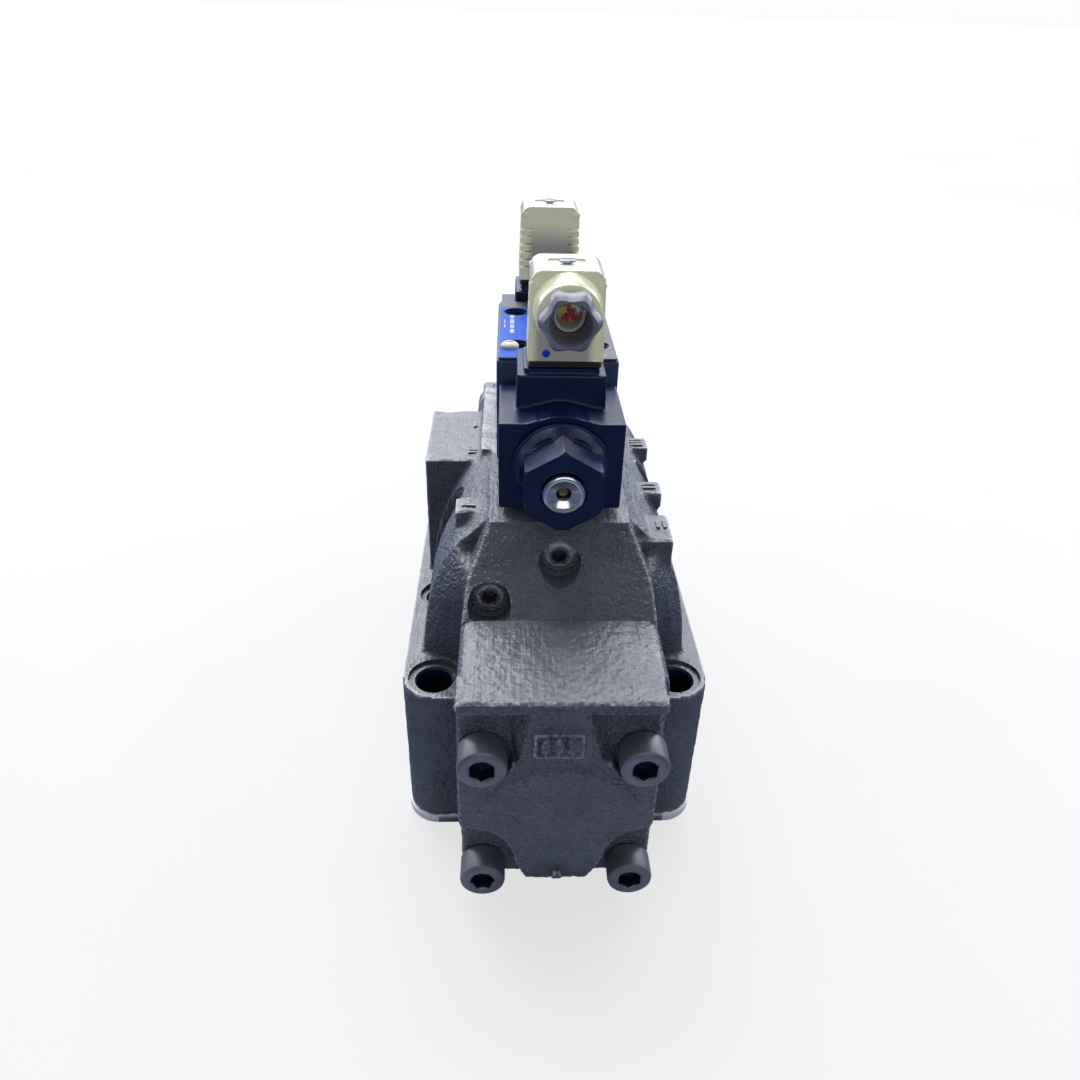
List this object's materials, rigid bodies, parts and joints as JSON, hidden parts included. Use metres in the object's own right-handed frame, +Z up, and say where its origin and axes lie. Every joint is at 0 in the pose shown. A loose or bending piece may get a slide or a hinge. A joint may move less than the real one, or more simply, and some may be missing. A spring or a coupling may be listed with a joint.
{
  "type": "solenoid directional valve",
  "caption": "Pilot-operated solenoid directional valve for subplate mounting: a cast spool valve with end covers, carrying a small solenoid pilot valve with plug connectors.",
  "frame": {"origin": "on the mounting face, directly under the middle of the main spool", "axes": "+Z up, away from the mounting face; +Y along both spools, towards the rear solenoid; +X across the valve, towards the side of the A and B ports"},
  "size_m": [0.1172, 0.2686, 0.214],
  "materials": {
    "casting": "painted dark grey, rough cast, satin",
    "black_steel": "black oxide steel, satin",
    "steel": "ground steel",
    "spring_steel": "drawn spring wire",
    "nickel": "bright nickel plate",
    "brass": "turned brass",
    "coil_plastic": "black moulded plastic with a slight gloss",
    "connector_plastic": "translucent ivory moulded plastic",
    "grey_plastic": "grey moulded plastic",
    "white_plastic": "off-white soft sleeve",
    "rubber": "black nitrile rubber",
    "plate": "thin printed aluminium plate, blue and silver"
  },
  "bodies": {
    "valve_body": {"main_body": "casting", "pilot_seal_plate": "steel", "pilot_body": "black_steel", "nameplate": "plate", "port_seal_p": "rubber", "port_seal_t": "rubber", "port_seal_a": "rubber", "port_seal_b": "rubber", "port_seal_x": "rubber", "port_seal_y": "rubber", "pilot_screw_1": "black_steel", "pilot_screw_2": "black_steel", "pilot_screw_3": "black_steel", "pilot_screw_4": "black_steel", "cover_front": "casting", "cover_screw_front_upper_left": "black_steel", "cover_screw_front_upper_right": "black_steel", "cover_screw_front_lower_left": "black_steel", "cover_screw_front_lower_right": "black_steel", "cover_seal_front": "rubber", "main_spring_front": "spring_steel", "passage_plug_front_upper": "black_steel", "passage_plug_front_lower": "black_steel", "coil_front": "coil_plastic", "core_tube_front": "nickel", "pilot_spring_front": "spring_steel", "coil_nut_front": "coil_plastic", "connector_gasket_front": "rubber", "cover_rear": "casting", "cover_screw_rear_upper_left": "black_steel", "cover_screw_rear_upper_right": "black_steel", "cover_screw_rear_lower_left": "black_steel", "cover_screw_rear_lower_right": "black_steel", "cover_seal_rear": "rubber", "main_spring_rear": "spring_steel", "passage_plug_rear_upper": "black_steel", "passage_plug_rear_lower": "black_steel", "coil_rear": "coil_plastic", "core_tube_rear": "nickel", "pilot_spring_rear": "spring_steel", "coil_nut_rear": "coil_plastic", "connector_gasket_rear": "rubber"},
    "main_spool_group": {"main_spool": "steel", "spring_seat_front": "steel", "spring_seat_rear": "steel"},
    "pilot_spool_group": {"pilot_spool": "steel"},
    "armature_group_front": {"armature_front": "steel"},
    "override_group_front": {"override_pin_front": "brass"},
    "connector_group_front": {"connector_housing_front": "connector_plastic", "terminal_insert_front": "grey_plastic", "connector_screw_front": "steel", "gland_nut_front": "grey_plastic", "cable_sleeve_front": "white_plastic"},
    "armature_group_rear": {"armature_rear": "steel"},
    "override_group_rear": {"override_pin_rear": "brass"},
    "connector_group_rear": {"connector_housing_rear": "connector_plastic", "terminal_insert_rear": "grey_plastic", "connector_screw_rear": "steel", "gland_nut_rear": "grey_plastic", "cable_sleeve_rear": "white_plastic"}
  },
  "joints": [
    {"name": "main_spool_slide", "type": "slide", "parent": "valve_body", "child": "main_spool_group", "axis": [0, 1, 0], "range_m": [-0.011, 0.011], "deforming": ["main_spring_front", "main_spring_rear"]},
    {"name": "pilot_spool_slide", "type": "slide", "parent": "valve_body", "child": "pilot_spool_group", "axis": [0, 1, 0], "range_m": [-0.003, 0.003], "deforming": ["pilot_spring_front", "pilot_spring_rear"]},
    {"name": "armature_slide_front", "type": "slide", "parent": "valve_body", "child": "armature_group_front", "axis": [0, 1, 0], "range_m": [-0.003, 0.003]},
    {"name": "override_slide_front", "type": "slide", "parent": "valve_body", "child": "override_group_front", "axis": [0, 1, 0], "range_m": [-0.003, 0.003]},
    {"name": "armature_slide_rear", "type": "slide", "parent": "valve_body", "child": "armature_group_rear", "axis": [0, 1, 0], "range_m": [-0.003, 0.003]},
    {"name": "override_slide_rear", "type": "slide", "parent": "valve_body", "child": "override_group_rear", "axis": [0, 1, 0], "range_m": [-0.003, 0.003]},
    {"name": "connector_unplug_front", "type": "slide", "parent": "valve_body", "child": "connector_group_front", "axis": [0, 0, 1], "range_m": [0, 0.03]},
    {"name": "connector_unplug_rear", "type": "slide", "parent": "valve_body", "child": "connector_group_rear", "axis": [0, 0, 1], "range_m": [0, 0.03]}
  ],
  "couplings": [
    {"joint": "armature_slide_front", "follows": "pilot_spool_slide", "ratio": 1},
    {"joint": "override_slide_front", "follows": "pilot_spool_slide", "ratio": 1},
    {"joint": "armature_slide_rear", "follows": "pilot_spool_slide", "ratio": 1},
    {"joint": "override_slide_rear", "follows": "pilot_spool_slide", "ratio": 1}
  ]
}
